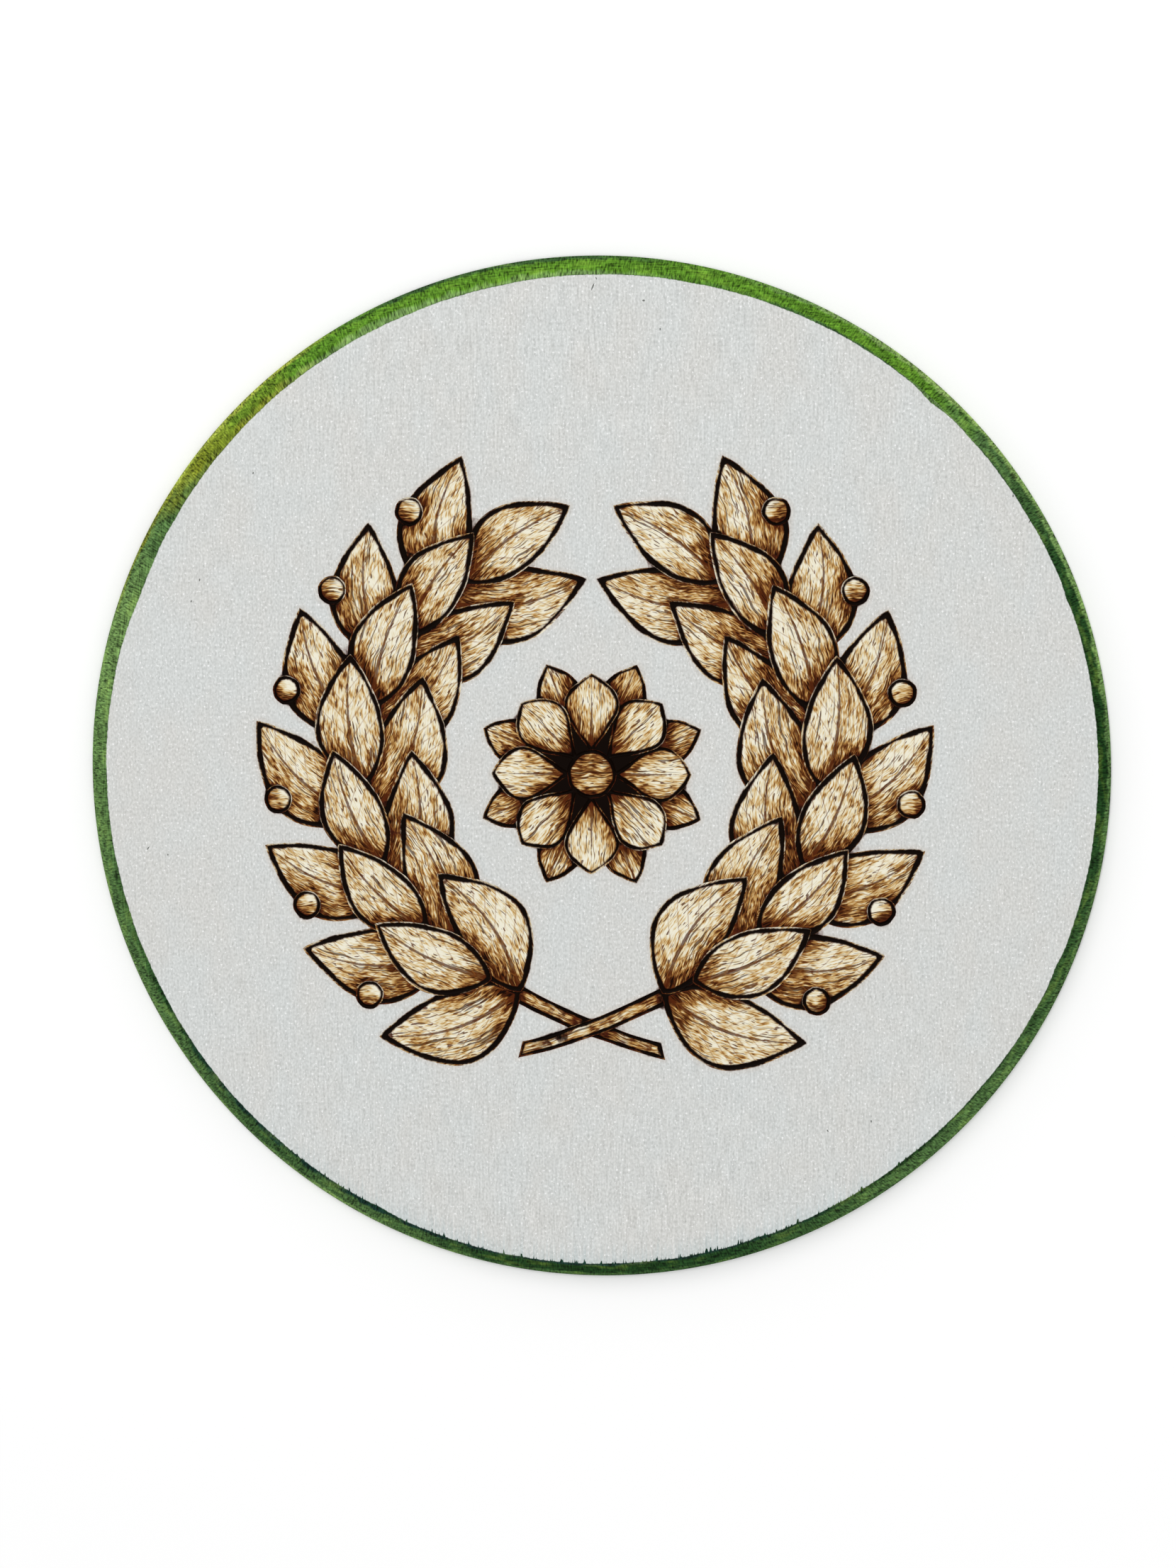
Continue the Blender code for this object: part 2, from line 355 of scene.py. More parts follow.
def depths_inside(motifs, points):
    """For each motif and point: the distance in from the outline, below zero outside, FAR if far off."""
    depths = np.full((len(motifs), len(points)), -FAR)
    for row, motif in zip(depths, motifs):
        low, high = motif.outline.min(axis=0) - NEARBY, motif.outline.max(axis=0) + NEARBY
        near = np.flatnonzero(((points > low) & (points < high)).all(axis=1))
        away = distance_to(motif.outline, points[near])
        row[near] = np.where(is_inside(motif.outline, points[near]), away, -away)
    return depths


def ground_points(motifs):
    """Points strewn evenly over the face, but not where a burned line needs its own."""
    steps = int(FACE_RADIUS / GROUND_PITCH) + 1
    points = []
    for row in range(-steps * 2, steps * 2):
        for column in range(-steps, steps + 1):
            points.append(((column + row % 2 / 2) * GROUND_PITCH, row * ROW_PITCH))
    points = np.array(points)
    points = points[np.linalg.norm(points, axis=1) < FACE_RADIUS - GROUND_PITCH]
    depths = depths_inside(motifs, points)
    lines = np.array([motif.line for motif in motifs])[:, None]
    on_a_line = ((depths > -KEEP_CLEAR) & (depths < lines + KEEP_CLEAR)).any(axis=0)
    return points[~on_a_line]


def flat_face(motifs, rim):
    """The face cut into triangles along every edge of every groove. The rim's points come first."""
    rings = [rim]
    for motif in motifs:
        rings += [drawn_in(motif.outline, share * motif.line) for share in GROOVE_RINGS]
    edges, count = [], 0
    for ring in rings:
        edges += [(count + i, count + (i + 1) % len(ring)) for i in range(len(ring))]
        count += len(ring)
    points = np.concatenate(rings + [ground_points(motifs)])
    triangles_inside = 1
    flat, _, triangles, sources, _, _ = delaunay_2d_cdt(
        [Vector(point) for point in points], edges, [], triangles_inside, POINTS_MEET
    )
    place_of = {source: i for i, found in enumerate(sources) for source in found}
    rim_points = [place_of[i] for i in range(len(rim))]
    return np.array([tuple(point) for point in flat]), np.array(triangles), rim_points


def groove_depth(motifs, depths):
    """How deep the pen has cut at each point: the topmost motif's groove, round-bottomed."""
    cut = np.zeros(depths.shape[1])
    for motif, depth in zip(motifs, depths):
        covered = depth > POINTS_MEET
        across = np.clip(depth[covered] / motif.line, 0, 1)
        deepest = NICK_DEPTH if motif.kind == "nick" else LINE_DEPTH
        cut[covered] = deepest * np.sin(math.pi * across) ** GROOVE_ROUNDNESS
    return cut


def fade(distance, reach):
    """1 at no distance, dying away as it grows."""
    return np.exp(-distance / reach)


def scorch_of(motif, along, across, in_from_edge, from_cover):
    """How densely strokes are burned, 0 to 1: darkest at a motif's root and under what covers it."""
    share = np.clip(along / motif.length, 0, 1)
    cover = 0.5 * fade(from_cover, 2.0)
    beyond_line = np.maximum(in_from_edge - motif.line, 0)
    if motif.kind == "leaf":
        root = 0.55 * fade(share, 0.22)
        tip = 0.2 * fade(1 - share, 0.12)
        edge = 0.5 * fade(beyond_line, 1.5) - 0.4 * fade(beyond_line, 0.35)
        beside_rib = 0.3 * fade(np.abs(across), 0.9) * (1 - share)
        shaded_half = 0.14 * (across < 0)
        return -0.19 + root + tip + edge + beside_rib + shaded_half + cover
    if motif.kind in ("petal", "sepal"):
        root = 0.75 * fade(share, 0.28 if motif.kind == "petal" else 0.45)
        edge = 0.45 * fade(beyond_line, 1.0) - 0.3 * fade(beyond_line, 0.3)
        return -0.1 + root + edge + cover
    if motif.kind == "stem":
        return 0.1 + 0.5 * fade(in_from_edge, 0.8) + cover
    if motif.kind == "berry":
        return 0.3 + 0.45 * (along - across) / BERRY_RADIUS + cover
    return 0.25 + 0.6 * fade(in_from_edge, 1.3)


def rib_width(motif, share):
    """Half the width of the line burned along a motif's rib: it runs out before the tip."""
    if motif.kind not in RIBS:
        return np.full(len(share), -1.0)
    width, reach = RIBS[motif.kind]
    return width * (1 - share / reach)


class Marks:
    """What the pen and the years have left at each corner of each triangle of the face.

    burn: the gap to the nearest burned line, how scorched it is, and 1 inside a motif.
    strokes: the way along and across the motif, and a number of its own.
    lines: half the width of the rib line there, 1 where side veins run, and 1 in a nick.
    """

    def __init__(self, motifs, depths, owners, corners, flat):
        self.burn = np.zeros((len(corners), 3))
        self.strokes = np.zeros((len(corners), 3))
        self.lines = np.zeros((len(corners), 3))
        self.lines[:, 0] = -1.0

        # Soot and cover from the motifs that lie over each one, added up from the topmost down
        soot_above = np.zeros((len(motifs) + 1, len(flat)))
        cover_above = np.full((len(motifs) + 1, len(flat)), FAR)
        for i in reversed(range(len(motifs))):
            soot_above[i], cover_above[i] = soot_above[i + 1], cover_above[i + 1]
            if motifs[i].kind != "nick":
                gap = np.maximum(-depths[i], 0) + (0.5 - LINE_SHARE) * motifs[i].line
                soot_above[i] = soot_above[i] + fade(gap, SOOT_SPREAD)
                cover_above[i] = np.minimum(cover_above[i], np.abs(depths[i]))
        soot = soot_above[owners + 1, corners]

        for number, motif in enumerate(motifs):
            mine = np.flatnonzero(owners == number)
            if motif.kind == "nick":
                self.lines[mine, 2] = 1.0
                continue
            at = corners[mine]
            depth = np.maximum(depths[number, at], 0)
            gap = np.abs(depth - motif.line / 2) - LINE_SHARE * motif.line
            soot[mine] += fade(gap, SOOT_SPREAD)
            way = motif.strokes_at(flat[at])
            scorch = scorch_of(motif, way[:, 0], way[:, 1], depth, cover_above[number + 1, at])
            self.burn[mine, 1] = np.clip(scorch, *SCORCH_RANGE)
            self.burn[mine, 2] = 1.0
            self.strokes[mine, :2] = way
            self.strokes[mine, 2] = number * STROKES_APART
            self.lines[mine, 0] = rib_width(motif, way[:, 0] / motif.length)
            self.lines[mine, 1] = float(motif.kind == "leaf")
        self.burn[:, 0] = np.minimum(-SOOT_SPREAD * np.log(np.maximum(soot, LEAST_SOOT)), FAR)
        in_the_middle = (owners < 0) & (np.linalg.norm(flat[corners], axis=1) < CENTRE_CHAR)
        self.burn[in_the_middle, 0] = -1.0


def add_piece(name, verts, faces):
    mesh = bpy.data.meshes.new(name)
    mesh.from_pydata(verts, [], faces)
    piece = bpy.data.objects.new(name, mesh)
    bpy.context.scene.collection.objects.link(piece)
    return piece


def add_values(mesh, name, domain, values):
    """Three values for each corner or point of a mesh, for its material to read."""
    attribute = mesh.attributes.new(name, "FLOAT_VECTOR", domain)
    attribute.data.foreach_set("vector", values.astype(np.float32).ravel())


def hump(degrees, clock, spread):
    """1 at a place on the clock, dying away to both sides of it."""
    off = (degrees - (90 - clock) + 180) % 360 - 180
    return np.exp(-((off / spread) ** 2))


def sanded_rim(hand):
    """The radius of the face's rim at each of its points: a sanding block has taken off most on the
    left, more on one slant than on the other, more or less in places, and left small waves."""
    around = np.arange(RIM_SIDES) / RIM_SIDES
    angle = 2 * math.pi * around
    degrees = 360 * around
    radius = FACE_RADIUS + RIM_TO_THE_RIGHT * np.cos(angle)
    radius -= MORE_SANDED * np.cos(2 * (angle - math.radians(MORE_SANDED_AT)))
    for clock, spread, more in HAND_SANDING:
        radius -= more * hump(degrees, clock, spread)
    for waves, size in SANDING_WAVES:
        radius += size * np.sin(2 * math.pi * (waves * around + hand.random()))
    return radius


def to_the_rim(points, radii):
    """How far in from the rim points are, straight in and along the grain. Where the brush slipped,
    the stain has a head start."""
    angle = np.degrees(np.arctan2(points[:, 1], points[:, 0])) % 360
    rim = np.interp(angle, np.arange(RIM_SIDES + 1) * 360 / RIM_SIDES, np.append(radii, radii[0]))
    straight = rim - np.linalg.norm(points, axis=1)
    for clock, spread, reach in BRUSH_SLIPS:
        straight -= reach * hump(angle, clock, spread)
    along_grain = np.sqrt(np.maximum(rim**2 - points[:, 0] ** 2, 0)) - np.abs(points[:, 1])
    return np.column_stack((straight, along_grain, np.zeros(len(points))))


def face_veneer():
    hand = random.Random(STRAY_SEED)
    right = branch(random.Random(LAYOUT_SEED))
    motifs = [motif.mirrored() for motif in right] + right + rosette()
    for motif in motifs:
        motif.outline = drawn_by_hand(motif.outline, hand)
    motifs += nicks()
    radii = sanded_rim(hand)
    directions = circle_outline(1.0, RIM_SIDES)
    flat, triangles, last = flat_face(motifs, directions * radii[:, None])
    depths = depths_inside(motifs, flat)
    face = np.column_stack((flat, THICKNESS - groove_depth(motifs, depths)))

    # The topmost motif at the middle of each triangle is the one that its three corners show
    owners = np.full(len(triangles), -1)
    for number, row in enumerate(depths_inside(motifs, flat[triangles].mean(axis=1))):
        owners[row > 0] = number
    marks = Marks(motifs, depths, np.repeat(owners, 3), triangles.ravel(), flat)

    # The bevel is turned down from the rim of the face, and the hidden underside closes it
    rings = [face]
    faces = triangles.tolist()
    for step in range(1, RIM_STEPS + 1):
        share = step / RIM_STEPS
        height = THICKNESS - (OUTER_PLY - SEAM) * share
        radius = rim_radius(height) + (radii - FACE_RADIUS) * (1 - share)
        rings.append(np.column_stack((directions * radius[:, None], np.full(RIM_SIDES, height))))
        first = len(face) + (step - 1) * RIM_SIDES
        this = list(range(first, first + RIM_SIDES))
        for i in range(RIM_SIDES):
            after = (i + 1) % RIM_SIDES
            faces.append((last[i], this[i], this[after], last[after]))
        last = this
    faces.append(last[::-1])
    verts = np.concatenate(rings)
    piece = add_piece("face_veneer", (verts * MM).tolist(), faces)
    mesh = piece.data

    # On the bevel nothing is burned, and the stain covers all of it
    corners = len(mesh.loops)
    for name, on_face, elsewhere in (
        ("burn", marks.burn, (FAR, 0, 0)),
        ("strokes", marks.strokes, (0, 0, 0)),
        ("lines", marks.lines, (-1, 0, 0)),
    ):
        values = np.tile(np.array(elsewhere, dtype=float), (corners, 1))
        values[: len(on_face)] = on_face
        add_values(mesh, name, "CORNER", values)
    to_rim = np.full((len(verts), 3), -1.0)
    to_rim[: len(face)] = to_the_rim(flat, radii)
    add_values(mesh, "to_rim", "POINT", to_rim)

    # A flat picture map, seen from above. The hidden underside takes a small round in one corner.
    places = np.zeros(corners, dtype=np.int32)
    mesh.loops.foreach_get("vertex_index", places)
    across = verts[places, :2] / (2 * DISC_RADIUS)
    picture = 0.5 + PICTURE_SHARE * across
    picture[-RIM_SIDES:] = UNDERSIDE_AT + UNDERSIDE_SHARE * across[-RIM_SIDES:]
    mesh.uv_layers.new(name="OFBake").data.foreach_set("uv", picture.astype(np.float32).ravel())
    return piece


def select_only(piece):
    bpy.ops.object.select_all(action="DESELECT")
    piece.select_set(True)
    bpy.context.view_layer.objects.active = piece


def shade(piece):
    select_only(piece)
    bpy.ops.object.shade_smooth_by_angle(angle=math.radians(SMOOTH_ANGLE))


def colour(hex_code):
    """A colour as a paint chart gives it, turned into the light it sends back."""
    parts = [int(hex_code[i : i + 2], 16) / 255 for i in (0, 2, 4)]
    return (*[part / 12.92 if part <= 0.04045 else ((part + 0.055) / 1.055) ** 2.4 for part in parts], 1.0)


def set_inputs(node, inputs):
    """Sets a node's inputs to values, or links them from other nodes."""
    for name, value in inputs.items():
        socket = next(s for i, s in enumerate(node.inputs) if s.enabled and name in (i, s.name))
        if isinstance(value, bpy.types.Node):
            value = next(s for s in value.outputs if s.enabled)
        if isinstance(value, bpy.types.NodeSocket):
            node.id_data.links.new(value, socket)
        else:
            socket.default_value = value


def add_node(tree, kind, inputs, **settings):
    """A shader node with its settings and its inputs."""
    node = tree.nodes.new("ShaderNode" + kind)
    for name, value in settings.items():
        setattr(node, name, value)
    set_inputs(node, inputs)
    return node


def new_finish(name):
    """A new material, its node tree, and the place of each point of its piece in millimetres."""
    material = bpy.data.materials.new(name)
    material.use_nodes = True
    tree = material.node_tree
    place = add_node(tree, "TexCoord", {}).outputs["Object"]
    place = add_node(tree, "VectorMath", {0: place, "Scale": 1 / MM}, operation="SCALE")
    return material, tree, place


def mottled(tree, place, cell, detail=2.0, roughness=0.5):
    """A soft random pattern around 0.5, in cells of that many millimetres on X, Y and Z."""
    scale = [1 / length for length in cell]
    spot = add_node(tree, "VectorMath", {0: place, 1: scale}, operation="MULTIPLY")
    inputs = {"Vector": spot, "Scale": 1.0, "Detail": detail, "Roughness": roughness}
    return add_node(tree, "TexNoise", inputs).outputs[0]


def varied(tree, base, pattern, by):
    """A value raised where a pattern is over its middle and lowered where it is under it."""
    off_middle = add_node(tree, "Math", {0: pattern, 1: 0.5}, operation="SUBTRACT")
    return add_node(tree, "Math", {0: off_middle, 1: by, 2: base}, operation="MULTIPLY_ADD")


def coated(tree, under, coat, gauge, none_at, full_at, strength=1.0):
    """One colour laid over another, from none of it to its full strength as a gauge changes."""
    inputs = {"Value": gauge, "From Min": none_at, "From Max": full_at, "To Max": strength}
    cover = add_node(tree, "MapRange", inputs)
    return add_node(tree, "Mix", {"Factor": cover, "A": under, "B": coat}, data_type="RGBA")


def set_tones(ramp, tones):
    """Gives a colour ramp its tones, as (position, hex colour) pairs."""
    stops = ramp.color_ramp.elements
    while len(stops) < len(tones):
        stops.new(1.0)
    for stop, (position, hex_code) in zip(stops, tones):
        stop.position = position
        stop.color = colour(hex_code)


# The greens of the stain, as the wood under it takes them; in the tones round the clock below, some also
# carry painted shade and painted highlights
STRAW_HIGHLIGHT = "93a040"
OLIVE = "767f24"
PALE_SAGE = "7a9753"
SAGE = "6a8a4e"
FERN = "5c7c44"
LEAF_GREEN = "527d24"
MOSS = "4b6b3b"
BOTTLE = "37572d"
PINE = "234520"
FIR = "1b3b17"
TEAL = "17352c"
DRY_BRUSH_GREEN = "8fa440"

# The stain's tone at each place on the clock, in degrees from the top: on the inner part of the
# bevel, the middle and the outer. Besides the stain, the tones are darker towards the right and the
# bottom, partly as painted shade, and the outer part's pale sage at the upper right and straw at the
# upper left are painted highlights.
INNER_TONES = [
    (0, SAGE), (12, LEAF_GREEN), (24, BOTTLE), (36, BOTTLE), (41, SAGE), (45, SAGE), (52, PINE),
    (92, PINE), (110, BOTTLE), (145, FIR), (165, TEAL), (228, TEAL), (245, PINE), (262, MOSS),
    (285, SAGE), (298, MOSS), (316, OLIVE), (330, SAGE), (360, SAGE),
]
MIDDLE_TONES = [
    (0, LEAF_GREEN), (26, LEAF_GREEN), (40, LEAF_GREEN), (50, MOSS), (58, BOTTLE), (68, PINE),
    (88, FIR), (98, PINE), (114, BOTTLE), (128, MOSS), (144, MOSS), (155, BOTTLE), (165, PINE),
    (182, FIR), (192, PINE), (206, MOSS), (222, BOTTLE), (240, MOSS), (258, MOSS), (272, FERN),
    (288, SAGE), (298, MOSS), (306, OLIVE), (324, LEAF_GREEN), (360, LEAF_GREEN),
]
OUTER_TONES = [
    (0, BOTTLE), (12, LEAF_GREEN), (26, SAGE), (38, PALE_SAGE), (50, PALE_SAGE), (58, SAGE),
    (75, SAGE), (90, MOSS), (140, MOSS), (156, BOTTLE), (180, BOTTLE), (196, MOSS), (212, SAGE),
    (224, MOSS), (240, FERN), (275, FERN), (285, SAGE), (298, OLIVE), (308, STRAW_HIGHLIGHT), (322, STRAW_HIGHLIGHT),
    (331, LEAF_GREEN), (338, BOTTLE), (360, BOTTLE),
]

# The heights where those tones change, how softly, and how thin the stain may get
INNER_TO_MIDDLE = 4.4
MIDDLE_TO_OUTER = 1.8
TONES_BLEND = 0.3
THINNEST_STAIN = 0.2
UPRIGHT_GRAIN = (0.3, 2.5, 0.8)


def stain_colour(tree, place, upper_tones, lower_tones, change_at, grain):
    """Green stain brushed round the rim by hand. Its tone goes round the clock and changes at a height
    on the bevel; round the clock it is also darker towards the right and the bottom, partly as painted
    shade, and paler on the outer part at the upper right and upper left, as painted highlights. It is
    lighter and darker in blotches, in the brush's strokes and along the grain. Returns the colour and
    the streaks of the grain."""
    split = add_node(tree, "SeparateXYZ", {"Vector": place})
    clock = add_node(tree, "Math", {0: split.outputs["X"], 1: split.outputs["Y"]}, operation="ARCTAN2")
    turn = varied(tree, clock, mottled(tree, place, (7, 7, 7)), by=0.3)
    turn = add_node(tree, "Math", {0: turn, 1: 2 * math.pi}, operation="DIVIDE")
    turn = add_node(tree, "Math", {0: turn}, operation="FRACT")
    # The ramps round the clock hold painted shade at the right and the bottom, and painted highlights on
    # the outer part at the upper right and upper left, as well as the stain's own tones
    upper = add_node(tree, "ValToRGB", {"Fac": turn})
    lower = add_node(tree, "ValToRGB", {"Fac": turn})
    for ramp, tones in ((upper, upper_tones), (lower, lower_tones)):
        set_tones(ramp, [(angle / 360, tone) for angle, tone in tones])
    height = varied(tree, split.outputs["Z"], mottled(tree, place, (3, 3, 3)), by=2.4)
    stain = coated(tree, upper, lower, height, change_at + TONES_BLEND, change_at - TONES_BLEND)

    blotches = mottled(tree, place, (5, 5, 2), roughness=0.6)
    stain = coated(tree, stain, colour(DRY_BRUSH_GREEN), blotches, 0.53, 0.7, strength=0.14)
    arc = add_node(tree, "Math", {0: clock, 1: DISC_RADIUS}, operation="MULTIPLY")
    round_it = add_node(tree, "CombineXYZ", {"X": arc, "Y": split.outputs["Z"]})
    strokes = mottled(tree, round_it, (0.34, 1.3, 1), detail=1.0)
    streaks = mottled(tree, place, grain, roughness=0.55)
    thinness = varied(tree, 1.0, blotches, by=1.5)
    thinness = varied(tree, thinness, strokes, by=3.0)
    thinness = varied(tree, thinness, streaks, by=2.6)
    thinness = add_node(tree, "Math", {0: thinness, 1: THINNEST_STAIN}, operation="MAXIMUM")
    return add_node(tree, "VectorMath", {0: stain, 1: thinness}, operation="MULTIPLY"), streaks


# Bare veneer: its darkest and palest fibres, the tints of its patches, its painted glints and its pores
DARK_FIBRE = "a2a4a1"
PALE_FIBRE = "f4f6f5"
COOL_TINT = "feffff"
WARM_TINT = "fffdfb"
PAINTED_GLINT = "ffffff"
PORE = "989a95"
NICK_GREY = "5d605c"
WET_TINT = "a3bcc0"

# Burned veneer: the pen's strokes from the faintest to the hardest, and the lines it draws
SCORCH_TONES = [
    (0.0, "ebe6d2"), (0.2, "dfd2b0"), (0.38, "ceb07a"), (0.54, "b08345"), (0.7, "7e4f27"),
    (0.86, "462009"), (1.0, "180804"),
]
TICK_BROWN = "54260b"
LONG_STROKE_BROWN = "3c1808"
RIB_BROWN = "52240c"
VEIN_BROWN = "8a5424"
HALO_TAN = "b58a5c"
FRINGE_BROWN = "552111"
CHAR = "0e0603"

# How light the bare wood is, and how much its fibres stand out: in the middle, and more per millimetre
WOOD_LIGHTNESS = 0.49
FIBRE_CONTRAST = 0.18
CONTRAST_PER_MM = 0.0035
WOOD_SHEEN = 0.03
FACE_RELIEF = 0.06

# How hot the pen runs on the scale of its tones, how much wider it chars scorched wood, and the veins
PEN_HEAT = 0.13
CHARS_WIDER = 0.16
VEIN_PITCH = 1.6
VEIN_SLANT = 1.25

# The stain's spikes along the grain: where on Y they start and are longest, and their lengths
CREEP_STARTS, CREEP_FULL = -62, -86
SHORTEST_SPIKE, LONGEST_SPIKE = 0.2, 0.95


def marks_of(tree, name):
    """The three values that the face's mesh holds under a name."""
    values = add_node(tree, "Attribute", {}, attribute_name=name).outputs["Vector"]
    return add_node(tree, "SeparateXYZ", {"Vector": values}).outputs


def bare_veneer(tree, place, up):
    """A fine even tooth, upright fibres that stand out more at the top and bottom, cool and warm
    patches, a few white specks of painted glint and dark pores. Tooth and fibres are finer in real wood,
    and are drawn as coarse as they need to show. Returns the colour and the fibres."""
    fibres = mottled(tree, place, (0.4, 5, 5), detail=1.0)
    tooth = mottled(tree, place, (0.36, 0.6, 1), detail=0.5)
    from_middle = add_node(tree, "Math", {0: up}, operation="ABSOLUTE")
    contrast = {0: from_middle, 1: CONTRAST_PER_MM, 2: FIBRE_CONTRAST}
    contrast = add_node(tree, "Math", contrast, operation="MULTIPLY_ADD")
    lightness = varied(tree, WOOD_LIGHTNESS, tooth, by=0.56)
    lightness = varied(tree, lightness, fibres, by=contrast)
    wood = coated(tree, colour(DARK_FIBRE), colour(PALE_FIBRE), lightness, none_at=0, full_at=1)
    patches = mottled(tree, place, (9, 16, 9))
    tint = coated(tree, colour(COOL_TINT), colour(WARM_TINT), patches, none_at=0.35, full_at=0.65)
    wood = add_node(tree, "VectorMath", {0: wood, 1: tint}, operation="MULTIPLY")
    glints_and_pores = mottled(tree, place, (0.4, 0.5, 1), detail=0.0)
    # Painted glints: white specks standing in for light caught on the raised fibres. The same pattern's low
    # end gives the pores.
    wood = coated(tree, wood, colour(PAINTED_GLINT), glints_and_pores, none_at=0.68, full_at=0.8, strength=0.6)
    wood = coated(tree, wood, colour(PORE), glints_and_pores, none_at=0.27, full_at=0.2, strength=0.35)
    return wood, fibres


def scorched(tree, place, wood, ragged):
    """The pen's work inside the motifs: strokes that follow each one's length, a few hard ones among
    them, the rib and the side veins."""
    _, scorch, inside = marks_of(tree, "burn")
    along, across, motif_number = marks_of(tree, "strokes")
    rib, veined, _ = marks_of(tree, "lines")
    sway = varied(tree, across, mottled(tree, place, (3, 3, 3), detail=0.0), by=0.9)
    strokes = add_node(tree, "CombineXYZ", {"X": along, "Y": sway, "Z": motif_number})
    level = add_node(tree, "Math", {0: scorch, 1: PEN_HEAT}, operation="ADD")
    level = varied(tree, level, mottled(tree, strokes, (3.5, 2.5, 1), roughness=0.55), by=1.0)
    level = varied(tree, level, mottled(tree, strokes, (2.4, 0.65, 1), detail=1.0), by=0.75)
    level = varied(tree, level, mottled(tree, strokes, (1.4, 0.24, 1), detail=1.0), by=1.4)
    burned = add_node(tree, "ValToRGB", {"Fac": level})
    set_tones(burned, SCORCH_TONES)
    face = coated(tree, wood, burned, inside, none_at=0, full_at=1)

    # Short ticks and long drawn-out strokes, more of them where the wood is scorched dark
    for cell, more, none_at, full_at, strength, tone in (
        ((1.6, 0.3, 1), 0.12, 0.68, 0.71, 0.85, TICK_BROWN),
        ((9.0, 0.4, 1), 0.18, 0.7, 0.75, 0.8, LONG_STROKE_BROWN),
    ):
        hard = mottled(tree, strokes, cell, detail=0.0)
        hard = add_node(tree, "Math", {0: scorch, 1: more, 2: hard}, operation="MULTIPLY_ADD")
        most = add_node(tree, "Math", {0: inside, 1: strength}, operation="MULTIPLY")
        face = coated(tree, face, colour(tone), hard, none_at, full_at, most)

    # The rib runs up the middle, and the side veins slant up from it to both sides
    aside = add_node(tree, "Math", {0: across}, operation="ABSOLUTE")
    rib_gap = varied(tree, aside, ragged, by=0.3)
    rib_gap = add_node(tree, "Math", {0: rib_gap, 1: rib}, operation="SUBTRACT")
    face = coated(tree, face, colour(RIB_BROWN), rib_gap, none_at=0.21, full_at=0.05, strength=0.85)
    vein = add_node(tree, "Math", {0: aside, 1: -VEIN_SLANT, 2: along}, operation="MULTIPLY_ADD")
    vein = add_node(tree, "Math", {0: vein, 1: VEIN_PITCH}, operation="PINGPONG")
    vein = varied(tree, vein, ragged, by=0.35)
    most = add_node(tree, "Math", {0: veined, 1: 0.5}, operation="MULTIPLY")
    return coated(tree, face, colour(VEIN_BROWN), vein, none_at=0.275, full_at=0.025, strength=most)


def stained_rim(tree, place, face, up, pressure, ragged):
    """The bevel's green stain and how it creeps in along the grain: most at the bottom, in spikes,
    behind a thin bluish front. Returns the colour and the streaks of the grain."""
    straight_in, along_grain, _ = marks_of(tree, "to_rim")
    stain, streaks = stain_colour(tree, place, INNER_TONES, MIDDLE_TONES, INNER_TO_MIDDLE, UPRIGHT_GRAIN)
    spikes = mottled(tree, place, (0.4, 12, 12), roughness=0.6)
    low_down = add_node(tree, "MapRange", {"Value": up, "From Min": CREEP_STARTS, "From Max": CREEP_FULL})
    front = varied(tree, 3.375, spikes, by=11.25)
    front = add_node(tree, "Math", {0: front, 1: along_grain}, operation="SUBTRACT")
    most = add_node(tree, "Math", {0: low_down, 1: 0.28}, operation="MULTIPLY")
    face = coated(tree, face, colour(WET_TINT), front, none_at=0, full_at=3.75, strength=most)

    # How many millimetres a point is within the stain, along the grain or straight in from the rim
    longest = {"Value": low_down, "To Min": SHORTEST_SPIKE, "To Max": LONGEST_SPIKE}
    longest = add_node(tree, "MapRange", longest)
    reach = {"Value": spikes, "From Min": 0.5, "From Max": 0.68, "To Max": longest}
    reach = add_node(tree, "MapRange", reach)
    along_it = add_node(tree, "Math", {0: reach, 1: along_grain}, operation="SUBTRACT")
    uneven = add_node(tree, "Math", {0: ragged, 1: 0.3}, operation="MULTIPLY")
    within = add_node(tree, "Math", {0: uneven, 1: straight_in}, operation="SUBTRACT")
    within = add_node(tree, "Math", {0: along_it, 1: within}, operation="MAXIMUM")
    pooled = {"Value": pressure, "From Min": 0.42, "From Max": 0.58, "To Max": 0.7}
    pooled = add_node(tree, "MapRange", pooled)
    stain = coated(tree, stain, colour(FIR), within, none_at=0.55, full_at=0.1, strength=pooled)
    return coated(tree, face, stain, within, none_at=0, full_at=0.15), streaks


